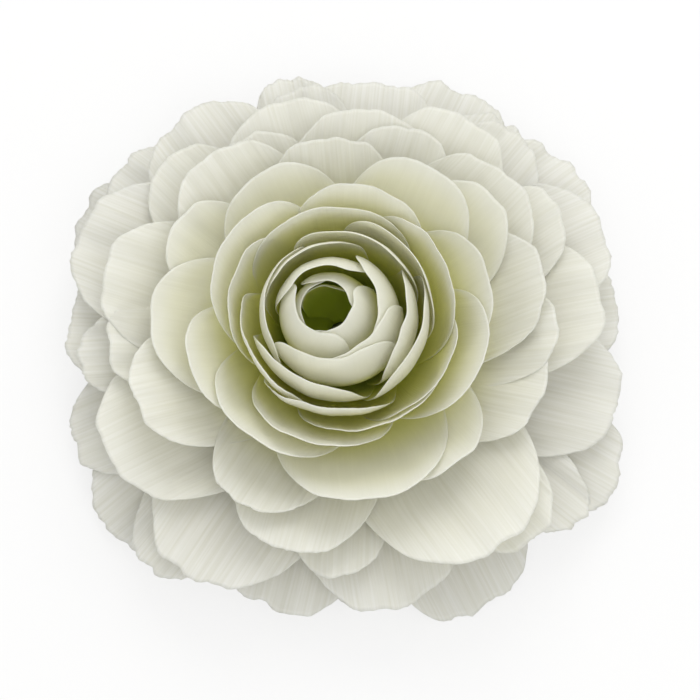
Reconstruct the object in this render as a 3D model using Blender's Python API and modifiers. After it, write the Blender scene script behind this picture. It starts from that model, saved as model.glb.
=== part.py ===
"""A picked ranunculus flower head, lying face up on its cut stem.

Every petal is a thin curved sheet.  The sheets lie on one family of nested
surfaces of revolution, from the closed bud (level 0) out to the drooping
outermost whorl (level 80), so that petals overlap in plan but never meet.
The cut stem stands on Z = 0, and the origin is the middle of the flower's
outline, a little to one side of the axis that the petals grow around.
"""
import math

import bpy

MM = 0.001

# Driving dimensions, in millimetres and degrees.
PETAL_THICKNESS = 0.25
SEPAL_THICKNESS = 0.45
CLEARANCE = 0.3
CLAW_WIDTH_SHARE = 0.16
ROUND_POWER = 3.0
SIDE_LENGTH_SHARE = 0.58
LENGTH_STEP = 10.0
PETAL_CELLS = (7, 6)
SEPAL_CELLS = (4, 5)

AXIS_X = 0.13
AXIS_Y = -0.77

BUD_LEAN_X = -4.3
BUD_LEAN_Y = 0.3
BUD_LEAN_LEVEL = 26.0
BUD_LEAN_FROM_Z = 12.0
BUD_LEAN_HEIGHT = 20.0

STEM_RADIUS = 3.4
STEM_LENGTH = 2.2
CALYX_HEIGHT = 3.6
SEPAL_COUNT = 5
SEPAL_LENGTH = 17.0
SEPAL_HALF_WIDTH = 4.6
SEPAL_AZIMUTH = 25.0
SEPAL_ROOF = 0.9

# The nested surfaces: level, radius and height where the petal is attached,
# and the slope of the petal above the horizontal at every LENGTH_STEP of
# its length.
SURFACES = (
    (0.0, 1.5, 16.0, (30, 95, 150, 190, 190, 190)),
    (19.0, 4.5, 12.2, (15, 40, 80, 100, 105, 105)),
    (24.5, 4.9, 11.2, (12, 34, 62, 72, 74, 74)),
    (31.0, 5.2, 9.8, (8, 20, 34, 40, 40, 38)),
    (41.0, 5.4, 8.5, (5, 14, 24, 28, 24, 18)),
    (57.0, 5.6, 6.8, (3, 8, 13, 12, 6, 0)),
    (80.0, 5.6, 4.6, (2, 3, 1, -5, -12, -19)),
)

# Petals of each whorl, from the outermost inwards: azimuth, length and half
# width.  The place in this order sets a petal's level.
OUTER_PETALS = (
    (150, 52, 16),
    (-62, 50, 16),
    (66, 50, 16),
    (-142, 50, 16),
    (10, 46, 15),
    (102, 48, 9),
    (-28, 51, 13),
    (-104, 46.5, 15),
    (38, 49, 16),
    (176, 46, 15),
    (84, 45, 16),
    (-14, 46, 15),
    (126, 47, 16),
    (-80, 46, 16),
    (24, 47, 15),
    (158, 48, 16),
    (-122, 48, 17),
)
MIDDLE_PETALS = (
    (-48, 47, 11),
    (106, 41, 15),
    (8, 43, 14),
    (-150, 45, 16),
    (60, 42, 14),
    (-56, 46, 18),
    (84, 38, 15),
    (167, 42, 14),
    (-104, 40, 14),
    (42, 38, 15),
    (-19, 35, 14),
    (130, 38, 14),
    (-158, 39, 13),
    (14, 35, 13),
    (96, 33, 13),
)
CUP_PETALS = (
    (180, 34, 14),
    (-82, 34, 17),
    (60, 33, 13),
    (-128, 31, 14),
    (-20, 30, 14),
    (148, 31, 15),
    (-70, 28, 15),
    (30, 27, 15),
    (100, 26, 17),
    (-150, 27, 14),
)
BUD_PETALS = (
    (-20, 26, 14),
    (70, 26, 14),
    (170, 25, 14),
    (-90, 25.5, 14),
    (10, 24.5, 12),
    (110, 24, 12),
    (-140, 24, 12),
    (-40, 22.5, 11),
    (60, 20.5, 10),
    (160, 19, 9),
    (-70, 17, 8),
    (100, 14, 6),
)


def between(low, high, share):
    return low + (high - low) * share


def surface_at(level):
    """Return the base radius, base height and slopes of one level."""
    level = min(max(level, SURFACES[0][0]), SURFACES[-1][0])
    for lower, upper in zip(SURFACES, SURFACES[1:]):
        if level <= upper[0]:
            share = (level - lower[0]) / (upper[0] - lower[0])
            break
    slopes = [between(a, b, share) for a, b in zip(lower[3], upper[3])]
    return between(lower[1], upper[1], share), between(lower[2], upper[2], share), slopes


def point_on_path(base_radius, base_height, slopes, length):
    """Follow the slopes for a length and return the radius and height there."""
    radius = base_radius
    height = base_height
    steps = max(1, math.ceil(length))
    step = length / steps
    for number in range(steps):
        place = (number + 0.5) * step / LENGTH_STEP
        section = min(int(place), len(slopes) - 2)
        slope = math.radians(between(slopes[section], slopes[section + 1], place - section))
        radius += step * math.cos(slope)
        height += step * math.sin(slope)
    return radius, height


def lean_at(level, height):
    """Return the sideways shift of the bud, which grows with its height."""
    share = max(0.0, 1.0 - level / BUD_LEAN_LEVEL)
    rise = min(max((height - BUD_LEAN_FROM_Z) / BUD_LEAN_HEIGHT, 0.0), 1.2)
    return BUD_LEAN_X * share * rise, BUD_LEAN_Y * share * rise


def width_share(along):
    """Return the width along a petal: a narrow claw, then the full blade."""
    rise = min(along / 0.75, 1.0)
    blade = rise * rise * (3.0 - 2.0 * rise)
    return CLAW_WIDTH_SHARE + (1.0 - CLAW_WIDTH_SHARE) * blade


def length_share(across):
    """Return how far the petal reaches at a place across its width."""
    arc = math.sqrt(max(0.0, 1.0 - abs(across) ** ROUND_POWER))
    return between(SIDE_LENGTH_SHARE, 1.0, arc)


def petal_point(level, azimuth, length, half_width, across, along):
    """Return one point of a petal, in metres, from its place on a flat grid."""
    across = math.sin(across * math.pi / 2.0)
    base_radius, base_height, slopes = surface_at(level)
    reach = length * along * length_share(across)
    radius, height = point_on_path(base_radius, base_height, slopes, reach)
    sideways = half_width * across * width_share(along)
    angle = math.radians(azimuth) - sideways / max(abs(radius), base_radius)
    lean_x, lean_y = lean_at(level, height)
    x = radius * math.cos(angle) + lean_x
    y = radius * math.sin(angle) + lean_y
    return x * MM, y * MM, height * MM


def sepal_point(azimuth, across, along):
    """Return one point of a sepal, a small pointed leaf below the petals."""
    slopes = (0, -12, -12)
    reach = SEPAL_LENGTH * along * between(0.6, 1.0, 1.0 - abs(across))
    radius, height = point_on_path(STEM_RADIUS + 1.4, CALYX_HEIGHT, slopes, reach)
    swell = math.sin(math.pi * min(0.15 + 0.75 * along, 0.9))
    height -= SEPAL_ROOF * across * across * swell
    sideways = SEPAL_HALF_WIDTH * across * swell
    angle = math.radians(azimuth) - sideways / radius
    return radius * math.cos(angle) * MM, radius * math.sin(angle) * MM, height * MM


def make_collection(name):
    collection = bpy.data.collections.new(name)
    bpy.context.scene.collection.children.link(collection)
    return collection


def make_material(name, colour, roughness):
    material = bpy.data.materials.new(name)
    material.use_nodes = True
    shader = material.node_tree.nodes["Principled BSDF"]
    shader.inputs["Base Color"].default_value = (*colour, 1.0)
    shader.inputs["Roughness"].default_value = roughness
    shader.inputs["Metallic"].default_value = 0.0
    return material


def finish_piece(piece, name, material, collection):
    """Name a new piece, give it its material and file it in its collection."""
    piece.name = name
    piece.data.name = name
    piece.data.materials.append(material)
    piece.data.shade_smooth()
    piece.location = (AXIS_X * MM, AXIS_Y * MM, 0.0)
    for old in list(piece.users_collection):
        old.objects.unlink(piece)
    collection.objects.link(piece)


def add_sheet(name, place, cells, thickness, material, collection):
    """Bend a flat grid with place(across, along) and give it a thickness."""
    bpy.ops.mesh.primitive_grid_add(x_subdivisions=cells[0], y_subdivisions=cells[1], size=2.0)
    sheet = bpy.context.object
    for vertex in sheet.data.vertices:
        vertex.co = place(vertex.co.x, (vertex.co.y + 1.0) / 2.0)
    solidify = sheet.modifiers.new("thickness", "SOLIDIFY")
    solidify.thickness = thickness * MM
    solidify.offset = 0.0
    solidify.use_even_offset = True
    finish_piece(sheet, name, material, collection)
    return sheet


def add_petals(collection):
    """Make every petal as an object of its own, outermost first."""
    whorls = (
        ("outer_petal", OUTER_PETALS, (0.80, 0.80, 0.68)),
        ("middle_petal", MIDDLE_PETALS, (0.84, 0.83, 0.70)),
        ("cup_petal", CUP_PETALS, (0.86, 0.85, 0.70)),
        ("bud_petal", BUD_PETALS, (0.86, 0.85, 0.66)),
    )
    level = SURFACES[-1][0]
    level_step = level / (sum(len(petals) for _, petals, _ in whorls) - 1)
    for whorl, petals, colour in whorls:
        material = make_material(whorl, colour, 0.55)
        for number, petal in enumerate(petals, start=1):
            add_sheet(
                f"{whorl}_{number:02d}",
                lambda across, along, petal=petal, level=level: petal_point(
                    level, *petal, across, along
                ),
                PETAL_CELLS,
                PETAL_THICKNESS,
                material,
                collection,
            )
            level -= level_step


def add_sepals(collection):
    material = make_material("sepal", (0.20, 0.30, 0.08), 0.6)
    for number in range(SEPAL_COUNT):
        azimuth = SEPAL_AZIMUTH + number * 360.0 / SEPAL_COUNT
        add_sheet(
            f"sepal_{number + 1}",
            lambda across, along, azimuth=azimuth: sepal_point(azimuth, across, along),
            SEPAL_CELLS,
            SEPAL_THICKNESS,
            material,
            collection,
        )


def receptacle_profile():
    """Return radius and height from the tip of the cone down to the cut stem."""
    cone = [(surface[1] - CLEARANCE, surface[2] - CLEARANCE) for surface in SURFACES]
    tip = (0.0, SURFACES[0][2])
    neck = [
        (STEM_RADIUS + 1.1, CALYX_HEIGHT),
        (STEM_RADIUS, STEM_LENGTH),
        (STEM_RADIUS, 0.0),
        (0.0, 0.0),
    ]
    return [tip] + cone + neck


def add_receptacle(collection):
    """Turn the stem and the cone that carries the petals as one piece."""
    profile = receptacle_profile()
    mesh = bpy.data.meshes.new("stem_and_receptacle")
    points = [(radius * MM, 0.0, height * MM) for radius, height in profile]
    edges = [(number, number + 1) for number in range(len(points) - 1)]
    mesh.from_pydata(points, edges, [])
    piece = bpy.data.objects.new("stem_and_receptacle", mesh)
    collection.objects.link(piece)
    screw = piece.modifiers.new("turn", "SCREW")
    screw.axis = "Z"
    screw.steps = 32
    screw.render_steps = 32
    screw.use_merge_vertices = True
    screw.merge_threshold = 0.00001
    material = make_material("receptacle", (0.42, 0.48, 0.16), 0.6)
    finish_piece(piece, "stem_and_receptacle", material, collection)


def build():
    for old in list(bpy.data.objects):
        bpy.data.objects.remove(old, do_unlink=True)
    flower = make_collection("ranunculus_flower")
    add_receptacle(flower)
    add_sepals(flower)
    add_petals(flower)


build()
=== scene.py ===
"""The looks of the ranunculus: every petal as a fine, thin, pleated sheet.

The flower's own lengths are in millimetres and its angles in degrees.  The
stage (floor, lamps and camera) is in metres, as Blender has it.
"""

import math

import bpy
import numpy as np
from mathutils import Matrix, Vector


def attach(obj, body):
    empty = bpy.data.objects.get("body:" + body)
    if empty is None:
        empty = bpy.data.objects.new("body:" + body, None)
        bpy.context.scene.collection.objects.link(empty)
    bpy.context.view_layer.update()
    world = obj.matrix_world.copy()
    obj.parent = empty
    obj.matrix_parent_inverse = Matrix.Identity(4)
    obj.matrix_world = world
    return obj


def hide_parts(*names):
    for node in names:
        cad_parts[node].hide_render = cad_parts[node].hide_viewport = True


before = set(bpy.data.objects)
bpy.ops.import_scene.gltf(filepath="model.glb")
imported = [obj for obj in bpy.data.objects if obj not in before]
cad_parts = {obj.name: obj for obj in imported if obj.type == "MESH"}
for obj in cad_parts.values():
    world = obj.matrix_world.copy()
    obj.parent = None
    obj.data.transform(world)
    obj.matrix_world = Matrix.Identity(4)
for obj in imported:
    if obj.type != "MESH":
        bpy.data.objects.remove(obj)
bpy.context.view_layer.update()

MM = 0.001

# The shape of the flower, in millimetres and degrees, as the frame has it.
AXIS = (0.13, -0.77)
CLAW_WIDTH_SHARE = 0.16
ROUND_POWER = 3.0
SIDE_LENGTH_SHARE = 0.58
LENGTH_STEP = 10.0
LONGEST = 58.0
BUD_LEAN = (-4.3, 0.3)
BUD_LEAN_LEVEL = 26.0
BUD_LEAN_FROM_Z = 12.0
BUD_LEAN_HEIGHT = 20.0
STEM_RADIUS = 3.4
CALYX_HEIGHT = 3.6
SEPAL_COUNT = 5
SEPAL_LENGTH = 17.0
SEPAL_HALF_WIDTH = 4.6
SEPAL_AZIMUTH = 25.0
SEPAL_SLOPE = -9.0
SEPAL_STEM_GAP = 1.4
SEPAL_ROOF = 0.9

# The sheets: cells across and along, how the cells crowd towards the tip,
# their thickness, and how far the lowest stay above the floor.
CELLS_ACROSS = 64
CELLS_ALONG = 40
SPACING_POWER = 0.8
SEPAL_CELLS_ACROSS = 16
SEPAL_CELLS_ALONG = 24
THICKNESS_INSIDE = 0.24
THICKNESS_AT_RIM = 0.12
FLOOR_GAP = 0.1

# A petal's share of its length at which it has its full width, the half width
# that the vein pattern is drawn for, and the points on a surface's path.
FULL_WIDTH_FROM = 0.75
VEIN_HALF_WIDTH = 16.0
PATH_POINTS = 291

# The nested surfaces: level, radius and height where the petal is attached,
# and the slope of the petal above the horizontal at every LENGTH_STEP of
# its length.
SURFACES = (
    (0.0, 1.5, 16.0, (30, 95, 150, 190, 190, 190)),
    (19.0, 4.5, 12.2, (15, 40, 80, 100, 105, 105)),
    (24.5, 4.9, 11.2, (12, 34, 62, 72, 74, 74)),
    (31.0, 5.2, 9.8, (8, 20, 34, 40, 40, 38)),
    (41.0, 5.4, 8.5, (5, 14, 24, 28, 24, 18)),
    (57.0, 5.6, 6.8, (3, 8, 13, 12, 6, 0)),
    (80.0, 5.6, 4.6, (2, 3, 1, -5, -12, -19)),
)

# Petals of each whorl, from the outermost inwards: azimuth, length and half
# width.  The place in this order sets a petal's level.
OUTER_PETALS = (
    (150, 52, 16),
    (-62, 50, 16),
    (66, 50, 16),
    (-142, 50, 16),
    (10, 46, 15),
    (102, 48, 9),
    (-28, 51, 13),
    (-104, 46.5, 15),
    (38, 49, 16),
    (176, 46, 15),
    (84, 45, 16),
    (-14, 46, 15),
    (126, 47, 16),
    (-80, 46, 16),
    (24, 47, 15),
    (158, 48, 16),
    (-122, 48, 17),
)
MIDDLE_PETALS = (
    (-48, 47, 11),
    (106, 41, 15),
    (8, 43, 14),
    (-150, 45, 16),
    (60, 42, 14),
    (-56, 46, 18),
    (84, 38, 15),
    (167, 42, 14),
    (-104, 40, 14),
    (42, 38, 15),
    (-19, 35, 14),
    (130, 38, 14),
    (-158, 39, 13),
    (14, 35, 13),
    (96, 33, 13),
)
CUP_PETALS = (
    (180, 34, 14),
    (-82, 34, 17),
    (60, 33, 13),
    (-128, 31, 14),
    (-20, 30, 14),
    (148, 31, 15),
    (-70, 28, 15),
    (30, 27, 15),
    (100, 26, 17),
    (-150, 27, 14),
)
BUD_PETALS = (
    (-20, 26, 14),
    (70, 26, 14),
    (170, 25, 14),
    (-90, 25.5, 14),
    (10, 24.5, 12),
    (110, 24, 12),
    (-140, 24, 12),
    (-40, 22.5, 11),
    (60, 20.5, 10),
    (160, 19, 9),
    (-70, 17, 8),
    (100, 14, 6),
)

# Narrower petals that fill in between: whorl, level, azimuth, length, half width.
EXTRA_PETALS = (
    ("outer_petal", 79.0, -85, 44, 9),
    ("outer_petal", 76.5, 140, 50, 12),
    ("outer_petal", 73.0, -160, 48, 12),
    ("outer_petal", 70.5, 55, 47, 12),
    ("outer_petal", 68.5, 118, 46, 10),
    ("outer_petal", 66.9, -38, 49, 9),
    ("outer_petal", 65.6, -130, 50, 11),
    ("outer_petal", 62.6, 100, 44, 10),
    ("outer_petal", 59.7, 50, 45, 12),
    ("outer_petal", 56.5, -175, 44, 10),
    ("middle_petal", 53.6, 136, 42, 12),
    ("middle_petal", 52.0, -92, 41, 10),
    ("middle_petal", 49.0, 30, 41, 11),
    ("middle_petal", 47.5, 118, 37, 12),
    ("middle_petal", 44.5, -176, 40, 11),
    ("middle_petal", 41.5, 72, 36, 12),
    ("middle_petal", 38.5, -2, 36, 10),
    ("middle_petal", 36.9, -118, 36, 12),
    ("cup_petal", 34.0, 150, 34, 11),
    ("cup_petal", 32.5, 40, 34, 11),
    ("cup_petal", 31.0, -55, 32, 13),
    ("cup_petal", 29.5, 120, 31, 13),
    ("cup_petal", 28.0, -160, 31, 12),
    ("cup_petal", 26.5, 15, 29, 14),
    ("cup_petal", 25.0, -105, 29, 14),
    ("cup_petal", 23.4, 80, 29, 13),
    ("cup_petal", 22.0, -35, 27.5, 13),
    ("cup_petal", 20.4, 165, 27.5, 13),
    ("cup_petal", 19.0, -100, 27, 13),
    ("bud_petal", 17.4, 40, 26.5, 14),
    ("bud_petal", 15.9, -120, 26.5, 13),
    ("bud_petal", 14.4, -10, 25.5, 12),
    ("bud_petal", 12.8, 120, 25, 12),
    ("bud_petal", 11.3, -50, 25, 12),
)


def between(low, high, share):
    return low + (high - low) * share


def smooth(low, high, value):
    """Rise smoothly from 0 to 1 as the value goes from low to high."""
    share = np.clip((value - low) / (high - low), 0.0, 1.0)
    return share * share * (3.0 - 2.0 * share)


def surface_path(level):
    """Return length, radius, height and slope along one level's petals."""
    levels = [row[0] for row in SURFACES]
    base_radius = np.interp(level, levels, [row[1] for row in SURFACES])
    base_height = np.interp(level, levels, [row[2] for row in SURFACES])
    slopes = [
        np.interp(level, levels, [row[3][place] for row in SURFACES])
        for place in range(len(SURFACES[0][3]))
    ]
    length = np.linspace(0.0, LONGEST, PATH_POINTS)
    knots = np.arange(len(slopes)) * LENGTH_STEP
    slope = np.radians(np.interp(length, knots, slopes))
    step = length[1] - length[0]
    middle = (slope[1:] + slope[:-1]) / 2.0
    radius = base_radius + np.concatenate([[0.0], np.cumsum(np.cos(middle) * step)])
    height = base_height + np.concatenate([[0.0], np.cumsum(np.sin(middle) * step)])
    return length, radius, height, slope


def waves(place, count, rng):
    """Return a smooth random wave over a place from -1 to 1, about 1 high."""
    total = np.zeros_like(place)
    for number in range(1, count + 1):
        phase = rng.uniform(0.0, 2.0 * math.pi)
        pace = number * math.pi * place * rng.uniform(0.8, 1.2)
        total += np.sin(pace + phase) / number**0.5
    return total / 1.6


def petal_grid():
    """Return how far along (0 to 1) and across (-1 to 1) the points lie."""
    along = np.linspace(0.0, 1.0, CELLS_ALONG + 1) ** SPACING_POWER
    across = np.linspace(-1.0, 1.0, CELLS_ACROSS + 1)
    across = np.sin(across * math.pi / 2.0)
    return np.meshgrid(along, across, indexing="ij")


def petal_reach(along, across, length, style, rng):
    """Return the distance from the base, with the rim scalloped and nicked."""
    arc = np.sqrt(np.clip(1.0 - np.abs(across) ** ROUND_POWER, 0.0, 1.0))
    edge = between(SIDE_LENGTH_SHARE, 1.0, arc)
    scallop = waves(across, 5, rng) * style["scallop"]
    nick = waves(across * 5.0, 4, rng) * style["nick"]
    edge = edge * (1.0 + (scallop + nick) * smooth(0.3, 1.0, along))
    return length * along * edge


def petal_place(level, azimuth, half_width, along, across, reach):
    """Return the points and upward normals of a plain petal on its surface."""
    path_length, path_radius, path_height, path_slope = surface_path(level)
    radius = np.interp(reach, path_length, path_radius)
    height = np.interp(reach, path_length, path_height)
    slope = np.interp(reach, path_length, path_slope)
    width = between(CLAW_WIDTH_SHARE, 1.0, smooth(0.0, FULL_WIDTH_FROM, along))
    turn = half_width * across * width / np.maximum(np.abs(radius), path_radius[0])
    angle = math.radians(azimuth) - turn
    level_lean = max(0.0, 1.0 - level / BUD_LEAN_LEVEL)
    height_lean = np.clip((height - BUD_LEAN_FROM_Z) / BUD_LEAN_HEIGHT, 0.0, 1.2)
    x = radius * np.cos(angle) + BUD_LEAN[0] * level_lean * height_lean + AXIS[0]
    y = radius * np.sin(angle) + BUD_LEAN[1] * level_lean * height_lean + AXIS[1]
    inward = -np.sin(slope)
    normal = np.stack([inward * np.cos(angle), inward * np.sin(angle), np.cos(slope)], axis=-1)
    return np.stack([x, y, height], axis=-1), normal


def petal_relief(along, across, style, rng):
    """Return how far the ruffles, the crown and the pleats lift each point."""
    outward = smooth(0.35, 1.0, along)
    ruffle = style["ruffle"] * waves(across, 4, rng) * outward
    crown = style["crown"] * (1.0 - across**2) * outward
    ribs = waves(across * style["rib_count"] / 4.0, 4, rng)
    fine = np.sin(across * style["rib_count"] * math.pi + rng.uniform(0.0, 6.0))
    pleat = style["pleat"] * (0.6 * ribs + 0.4 * fine) * smooth(0.15, 0.8, along)
    return ruffle + crown + pleat


def sheet_object(name, points, normal, rim, values):
    """Build a closed thin sheet round a grid of points.

    The rim share thins the sheet, and the values become mesh attributes.
    """
    rows, columns = rim.shape
    half = between(THICKNESS_INSIDE, THICKNESS_AT_RIM, rim)[..., None] / 2.0
    points[..., 2] = np.maximum(points[..., 2], FLOOR_GAP + half[..., 0])
    upper = points + normal * half
    lower = points - normal * half
    both = np.concatenate([upper.reshape(-1, 3), lower.reshape(-1, 3)])
    index = np.arange(rows * columns).reshape(rows, columns)
    a, b = index[:-1, :-1].ravel(), index[:-1, 1:].ravel()
    c, d = index[1:, 1:].ravel(), index[1:, :-1].ravel()
    under = rows * columns
    top = np.stack([a, b, c, d], axis=1)
    bottom = np.stack([d, c, b, a], axis=1) + under
    loop = np.concatenate(
        [index[0, :], index[1:, -1], index[-1, -2::-1], index[-2:0:-1, 0]]
    )
    following = np.roll(loop, -1)
    side = np.stack([following, loop, loop + under, following + under], axis=1)
    faces = np.concatenate([top, bottom, side])
    mesh = bpy.data.meshes.new(name)
    mesh.from_pydata((both * MM).tolist(), [], faces.tolist())
    for key, value in values.items():
        attribute = mesh.attributes.new(key, "FLOAT", "POINT")
        attribute.data.foreach_set("value", np.tile(value.ravel(), 2).astype(np.float32))
    mesh.shade_smooth()
    piece = bpy.data.objects.new(name, mesh)
    bpy.context.scene.collection.objects.link(piece)
    return piece


# The relief of each whorl: heights of the ruffle, crown and pleat, ribs across,
# and the depths of the rim's scallops and nicks as shares of the length.
STYLES = {
    "outer_petal": dict(
        ruffle=0.55, crown=-0.3, pleat=0.14, rib_count=22, scallop=0.012, nick=0.005
    ),
    "middle_petal": dict(
        ruffle=0.40, crown=-0.25, pleat=0.12, rib_count=20, scallop=0.010, nick=0.003
    ),
    "cup_petal": dict(
        ruffle=0.22, crown=0.0, pleat=0.05, rib_count=16, scallop=0.008, nick=0.001
    ),
    "bud_petal": dict(
        ruffle=0.12, crown=0.0, pleat=0.015, rib_count=12, scallop=0.010, nick=0.0
    ),
}


def add_petal(name, whorl, level, petal, material, seed):
    """Make one petal, a row of azimuth, length and half width, on the flower."""
    azimuth, length, half_width = petal
    style = STYLES[whorl]
    rng = np.random.default_rng(seed)
    along, across = petal_grid()
    reach = petal_reach(along, across, length, style, rng)
    points, normal = petal_place(level, azimuth, half_width, along, across, reach)
    points = points + normal * petal_relief(along, across, style, rng)[..., None]
    rim = np.maximum(smooth(0.86, 1.0, along), smooth(0.9, 1.0, np.abs(across)))
    values = {
        "along": along,
        "across": across * half_width / VEIN_HALF_WIDTH,
        "reach": reach,
        "shade": np.full(along.shape, rng.uniform(0.0, 1.0)),
    }
    piece = sheet_object(name, points, normal, rim, values)
    piece.data.materials.append(material)
    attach(piece, "root")
    return piece


# --------------------------------------------------------------- materials

# The tints that multiply or mix into a petal's colour along its veins and in
# its broad patches, and the depth of the fine relief in metres.
VEIN_TINT = (0.52, 0.50, 0.30)
PATCH_TINT = (0.62, 0.60, 0.36)
PATCH_SHARE = 0.12
BUMP_DEPTH = 0.0002
PETAL_NOISE_STEP = 40.0


def new_material(name):
    """Return an empty node material with its nodes and links."""
    material = bpy.data.materials.new(name)
    material.use_nodes = True
    nodes = material.node_tree.nodes
    nodes.clear()
    return material, nodes, material.node_tree.links


def value_of(nodes, links, attribute, low, high):
    """Read a mesh attribute and stretch a range of it to 0..1."""
    reader = nodes.new("ShaderNodeAttribute")
    reader.attribute_name = attribute
    spread = nodes.new("ShaderNodeMapRange")
    spread.interpolation_type = "SMOOTHSTEP"
    spread.inputs["From Min"].default_value = low
    spread.inputs["From Max"].default_value = high
    links.new(reader.outputs["Fac"], spread.inputs["Value"])
    return spread.outputs["Result"]


def mixed(nodes, links, share, first, second, blend="MIX"):
    """Mix two colours, each a socket or a plain colour."""
    mix = nodes.new("ShaderNodeMix")
    mix.data_type = "RGBA"
    mix.blend_type = blend
    share_socket, first_socket, second_socket = (mix.inputs[place] for place in (0, 6, 7))
    for socket, value in ((share_socket, share), (first_socket, first), (second_socket, second)):
        if isinstance(value, bpy.types.NodeSocket):
            links.new(value, socket)
        elif isinstance(value, tuple):
            socket.default_value = (*value, 1.0)
        else:
            socket.default_value = value
    return mix.outputs[2]


def streaks(nodes, links, across_scale, along_scale, detail):
    """Return noise drawn out along the petal, which differs between petals."""
    scales = (("across", across_scale), ("along", along_scale), ("shade", PETAL_NOISE_STEP))
    parts = []
    for attribute, scale in scales:
        reader = nodes.new("ShaderNodeAttribute")
        reader.attribute_name = attribute
        multiply = nodes.new("ShaderNodeMath")
        multiply.operation = "MULTIPLY"
        multiply.inputs[1].default_value = scale
        links.new(reader.outputs["Fac"], multiply.inputs[0])
        parts.append(multiply.outputs[0])
    place = nodes.new("ShaderNodeCombineXYZ")
    for number, part in enumerate(parts):
        links.new(part, place.inputs[number])
    noise = nodes.new("ShaderNodeTexNoise")
    noise.inputs["Scale"].default_value = 1.0
    noise.inputs["Detail"].default_value = detail
    links.new(place.outputs[0], noise.inputs["Vector"])
    return noise.outputs["Fac"]


def petal_material(
    name, deep, base, blade, rim, deep_to, base_to, roughness, vein, translucency
):
    """Petal tissue: a green-yellow base, a pale blade with veins, and a rim colour at the tip
    that is a painted highlight for the bright, edge-lit rims.

    The deep colour gives way to the base and the base to the blade over the
    reaches deep_to and base_to, in millimetres from where the petal starts.
    """
    material, nodes, links = new_material(name)
    colour = mixed(nodes, links, value_of(nodes, links, "reach", *deep_to), deep, base)
    colour = mixed(nodes, links, value_of(nodes, links, "reach", *base_to), colour, blade)
    # Painted highlight: over the last fifth of the length the colour turns to the lighter rim
    # colour, standing in for the edge-lit glow of the thin rims.
    colour = mixed(nodes, links, value_of(nodes, links, "along", 0.80, 1.0), colour, rim)
    veins = streaks(nodes, links, 34.0, 2.2, 3.0)
    spread = nodes.new("ShaderNodeMapRange")
    spread.inputs["From Min"].default_value = 0.35
    spread.inputs["From Max"].default_value = 0.75
    spread.inputs["To Max"].default_value = vein
    links.new(veins, spread.inputs["Value"])
    colour = mixed(nodes, links, spread.outputs["Result"], colour, VEIN_TINT, "MULTIPLY")
    patches = streaks(nodes, links, 2.5, 1.6, 2.0)
    darker = mixed(nodes, links, PATCH_SHARE, colour, PATCH_TINT)
    colour = mixed(nodes, links, patches, colour, darker)
    surface = nodes.new("ShaderNodeBsdfPrincipled")
    surface.inputs["Roughness"].default_value = roughness
    surface.inputs["Specular IOR Level"].default_value = 0.3
    surface.inputs["Sheen Weight"].default_value = 0.08
    surface.inputs["Sheen Roughness"].default_value = 0.4
    links.new(colour, surface.inputs["Base Color"])
    bump = nodes.new("ShaderNodeBump")
    bump.inputs["Strength"].default_value = 0.35
    bump.inputs["Distance"].default_value = BUMP_DEPTH
    links.new(streaks(nodes, links, 60.0, 3.0, 4.0), bump.inputs["Height"])
    links.new(bump.outputs["Normal"], surface.inputs["Normal"])
    through = nodes.new("ShaderNodeBsdfTranslucent")
    links.new(colour, through.inputs["Color"])
    blend = nodes.new("ShaderNodeMixShader")
    blend.inputs[0].default_value = translucency
    links.new(surface.outputs[0], blend.inputs[1])
    links.new(through.outputs[0], blend.inputs[2])
    output = nodes.new("ShaderNodeOutputMaterial")
    links.new(blend.outputs[0], output.inputs["Surface"])
    return material


def green_material(name, dark, light, scale):
    """Matte plant tissue with fine mottling, for the sepals and the stem."""
    material, nodes, links = new_material(name)
    place = nodes.new("ShaderNodeTexCoord")
    noise = nodes.new("ShaderNodeTexNoise")
    noise.inputs["Scale"].default_value = scale
    noise.inputs["Detail"].default_value = 5.0
    links.new(place.outputs["Object"], noise.inputs["Vector"])
    colour = mixed(nodes, links, noise.outputs["Fac"], dark, light)
    surface = nodes.new("ShaderNodeBsdfPrincipled")
    surface.inputs["Roughness"].default_value = 0.6
    links.new(colour, surface.inputs["Base Color"])
    bump = nodes.new("ShaderNodeBump")
    bump.inputs["Strength"].default_value = 0.3
    bump.inputs["Distance"].default_value = BUMP_DEPTH
    links.new(noise.outputs["Fac"], bump.inputs["Height"])
    links.new(bump.outputs["Normal"], surface.inputs["Normal"])
    output = nodes.new("ShaderNodeOutputMaterial")
    links.new(surface.outputs[0], output.inputs["Surface"])
    return material


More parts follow.
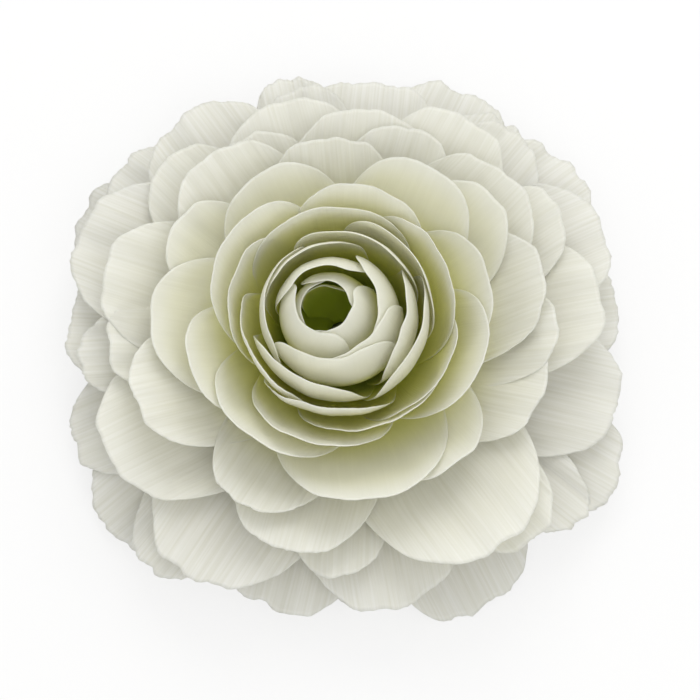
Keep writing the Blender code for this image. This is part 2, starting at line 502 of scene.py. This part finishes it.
# In each look the rim colour is a painted highlight, lighter than the blade, for the edge-lit
# glow of the petal tips.
PETAL_LOOKS = {
    "outer_petal": dict(
        deep=(0.70, 0.70, 0.20), base=(0.86, 0.85, 0.55),
        blade=(0.90, 0.895, 0.85), rim=(0.93, 0.93, 0.90),
        deep_to=(4.0, 14.0), base_to=(12.0, 30.0),
        roughness=0.5, vein=0.22, translucency=0.35,
    ),
    "middle_petal": dict(
        deep=(0.74, 0.75, 0.12), base=(0.90, 0.89, 0.45),
        blade=(0.92, 0.915, 0.85), rim=(0.95, 0.95, 0.91),
        deep_to=(4.0, 14.0), base_to=(12.0, 28.0),
        roughness=0.45, vein=0.16, translucency=0.38,
    ),
    "cup_petal": dict(
        deep=(0.82, 0.86, 0.04), base=(0.93, 0.93, 0.26),
        blade=(0.95, 0.945, 0.82), rim=(0.96, 0.96, 0.91),
        deep_to=(5.0, 15.0), base_to=(11.0, 25.0),
        roughness=0.4, vein=0.05, translucency=0.42,
    ),
    "bud_petal": dict(
        deep=(0.55, 0.66, 0.05), base=(0.92, 0.93, 0.22),
        blade=(0.96, 0.955, 0.84), rim=(0.97, 0.97, 0.90),
        deep_to=(6.0, 14.0), base_to=(12.0, 19.0),
        roughness=0.38, vein=0.03, translucency=0.42,
    ),
}
PETAL_MATERIALS = {
    whorl: petal_material(f"{whorl}_tissue", **look) for whorl, look in PETAL_LOOKS.items()
}


# ------------------------------------------------------------------ flower

def add_whorls():
    """Make the petals that stand for the frame's nodes, outermost first."""
    whorls = (
        ("outer_petal", OUTER_PETALS),
        ("middle_petal", MIDDLE_PETALS),
        ("cup_petal", CUP_PETALS),
        ("bud_petal", BUD_PETALS),
    )
    level = SURFACES[-1][0]
    level_step = level / (sum(len(petals) for _, petals in whorls) - 1)
    seed = 100
    for whorl, petals in whorls:
        for number, petal in enumerate(petals, start=1):
            node = f"{whorl}_{number:02d}"
            piece = add_petal(node + "_tissue", whorl, level, petal, PETAL_MATERIALS[whorl], seed)
            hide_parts(node)
            level -= level_step
            seed += 1


def add_extra_petals():
    """Make the narrower petals in between."""
    for number, (whorl, level, *petal) in enumerate(EXTRA_PETALS, start=1):
        name = f"inserted_{whorl}_{number:02d}"
        add_petal(name, whorl, level, petal, PETAL_MATERIALS[whorl], 500 + number)


def add_sepals():
    """Make the small pointed green leaves under the petals."""
    material = green_material("sepal_tissue", (0.16, 0.26, 0.06), (0.30, 0.40, 0.12), 900.0)
    along, across = np.meshgrid(
        np.linspace(0.0, 1.0, SEPAL_CELLS_ALONG + 1),
        np.linspace(-1.0, 1.0, SEPAL_CELLS_ACROSS + 1),
        indexing="ij",
    )
    slope = math.radians(SEPAL_SLOPE)
    for number in range(SEPAL_COUNT):
        azimuth = math.radians(SEPAL_AZIMUTH + number * 360.0 / SEPAL_COUNT)
        reach = SEPAL_LENGTH * along * between(0.6, 1.0, 1.0 - np.abs(across))
        radius = STEM_RADIUS + SEPAL_STEM_GAP + reach * math.cos(slope)
        swell = np.sin(math.pi * np.minimum(0.15 + 0.75 * along, 0.9))
        height = CALYX_HEIGHT + reach * math.sin(slope) - SEPAL_ROOF * across**2 * swell
        angle = azimuth - SEPAL_HALF_WIDTH * across * swell / radius
        x = radius * np.cos(angle) + AXIS[0]
        y = radius * np.sin(angle) + AXIS[1]
        points = np.stack([x, y, height], axis=-1)
        normal = np.zeros_like(points)
        normal[..., 2] = 1.0
        rim = smooth(0.8, 1.0, np.abs(across))
        piece = sheet_object(f"sepal_{number + 1}_tissue", points, normal, rim, {})
        piece.data.materials.append(material)
        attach(piece, "root")
        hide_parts(f"sepal_{number + 1}")


def finish_stem():
    """Give the frame's own stem and receptacle a green skin."""
    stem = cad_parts["stem_and_receptacle"]
    material = green_material("stem_tissue", (0.30, 0.38, 0.12), (0.46, 0.52, 0.20), 700.0)
    if stem.data.materials:
        stem.data.materials[0] = material
    else:
        stem.data.materials.append(material)


# ------------------------------------------------------------------- stage

FLOOR_SIDE = 4.0
FLOOR_COLOUR = (0.86, 0.86, 0.85, 1.0)
FLOOR_WHITE_SHARE = 0.72
WORLD_STRENGTH = 0.82

CAMERA_ELEVATION = 76.0
CAMERA_DISTANCE = 0.6
CAMERA_LENS = 166.8
CAMERA_TARGET = (0.96 * MM, -2.39 * MM, 7.6 * MM)

LAMP_AIM = (0.0, 0.0, 0.02)
LAMPS = {
    "key": dict(place=(0.05, 0.48, 0.46), size=0.55, power=1.7, colour=(1.0, 0.995, 0.98)),
    "fill": dict(place=(0.15, -0.35, 0.60), size=0.6, power=0.9, colour=(1.0, 1.0, 1.0)),
}


def area_light(name, place, size, power, colour):
    """Hang a soft round lamp, in metres and watts, that faces the flower."""
    light = bpy.data.lights.new(name, "AREA")
    light.shape = "DISK"
    light.size = size
    light.energy = power
    light.color = colour
    lamp = bpy.data.objects.new(name, light)
    bpy.context.scene.collection.objects.link(lamp)
    lamp.location = place
    direction = Vector(LAMP_AIM) - Vector(place)
    lamp.rotation_euler = direction.to_track_quat("-Z", "Y").to_euler()


def add_floor():
    """A white floor that still takes the flower's shadow."""
    mesh = bpy.data.meshes.new("floor")
    side = FLOOR_SIDE
    corners = [(-side, -side, 0.0), (side, -side, 0.0), (side, side, 0.0), (-side, side, 0.0)]
    mesh.from_pydata(corners, [], [(0, 1, 2, 3)])
    floor = bpy.data.objects.new("floor", mesh)
    bpy.context.scene.collection.objects.link(floor)
    material, nodes, links = new_material("floor_paper")
    paper = nodes.new("ShaderNodeBsdfDiffuse")
    paper.inputs["Color"].default_value = FLOOR_COLOUR
    glow = nodes.new("ShaderNodeEmission")
    glow.inputs["Strength"].default_value = 1.0
    ray = nodes.new("ShaderNodeLightPath")
    share = nodes.new("ShaderNodeMath")
    share.operation = "MULTIPLY"
    share.inputs[1].default_value = FLOOR_WHITE_SHARE
    links.new(ray.outputs["Is Camera Ray"], share.inputs[0])
    blend = nodes.new("ShaderNodeMixShader")
    links.new(share.outputs[0], blend.inputs[0])
    links.new(paper.outputs[0], blend.inputs[1])
    links.new(glow.outputs[0], blend.inputs[2])
    output = nodes.new("ShaderNodeOutputMaterial")
    links.new(blend.outputs[0], output.inputs["Surface"])
    floor.data.materials.append(material)


def add_world():
    """Plain white light from all round."""
    world = bpy.data.worlds.new("studio")
    world.use_nodes = True
    background = world.node_tree.nodes["Background"]
    background.inputs["Color"].default_value = (1.0, 1.0, 1.0, 1.0)
    background.inputs["Strength"].default_value = WORLD_STRENGTH
    bpy.context.scene.world = world


def add_camera():
    """Look down on the face of the flower from slightly in front."""
    elevation = math.radians(CAMERA_ELEVATION)
    back = Vector((0.0, -math.cos(elevation), math.sin(elevation)))
    data = bpy.data.cameras.new("camera")
    data.sensor_width = 36.0
    data.lens = CAMERA_LENS
    camera = bpy.data.objects.new("camera", data)
    bpy.context.scene.collection.objects.link(camera)
    camera.location = Vector(CAMERA_TARGET) + back * CAMERA_DISTANCE
    camera.rotation_euler = (-back).to_track_quat("-Z", "Y").to_euler()
    bpy.context.scene.camera = camera


add_whorls()
add_extra_petals()
add_sepals()
finish_stem()
add_floor()
add_world()
add_camera()
for lamp_name, lamp_values in LAMPS.items():
    area_light(lamp_name, **lamp_values)
bpy.context.scene.view_settings.view_transform = "Standard"
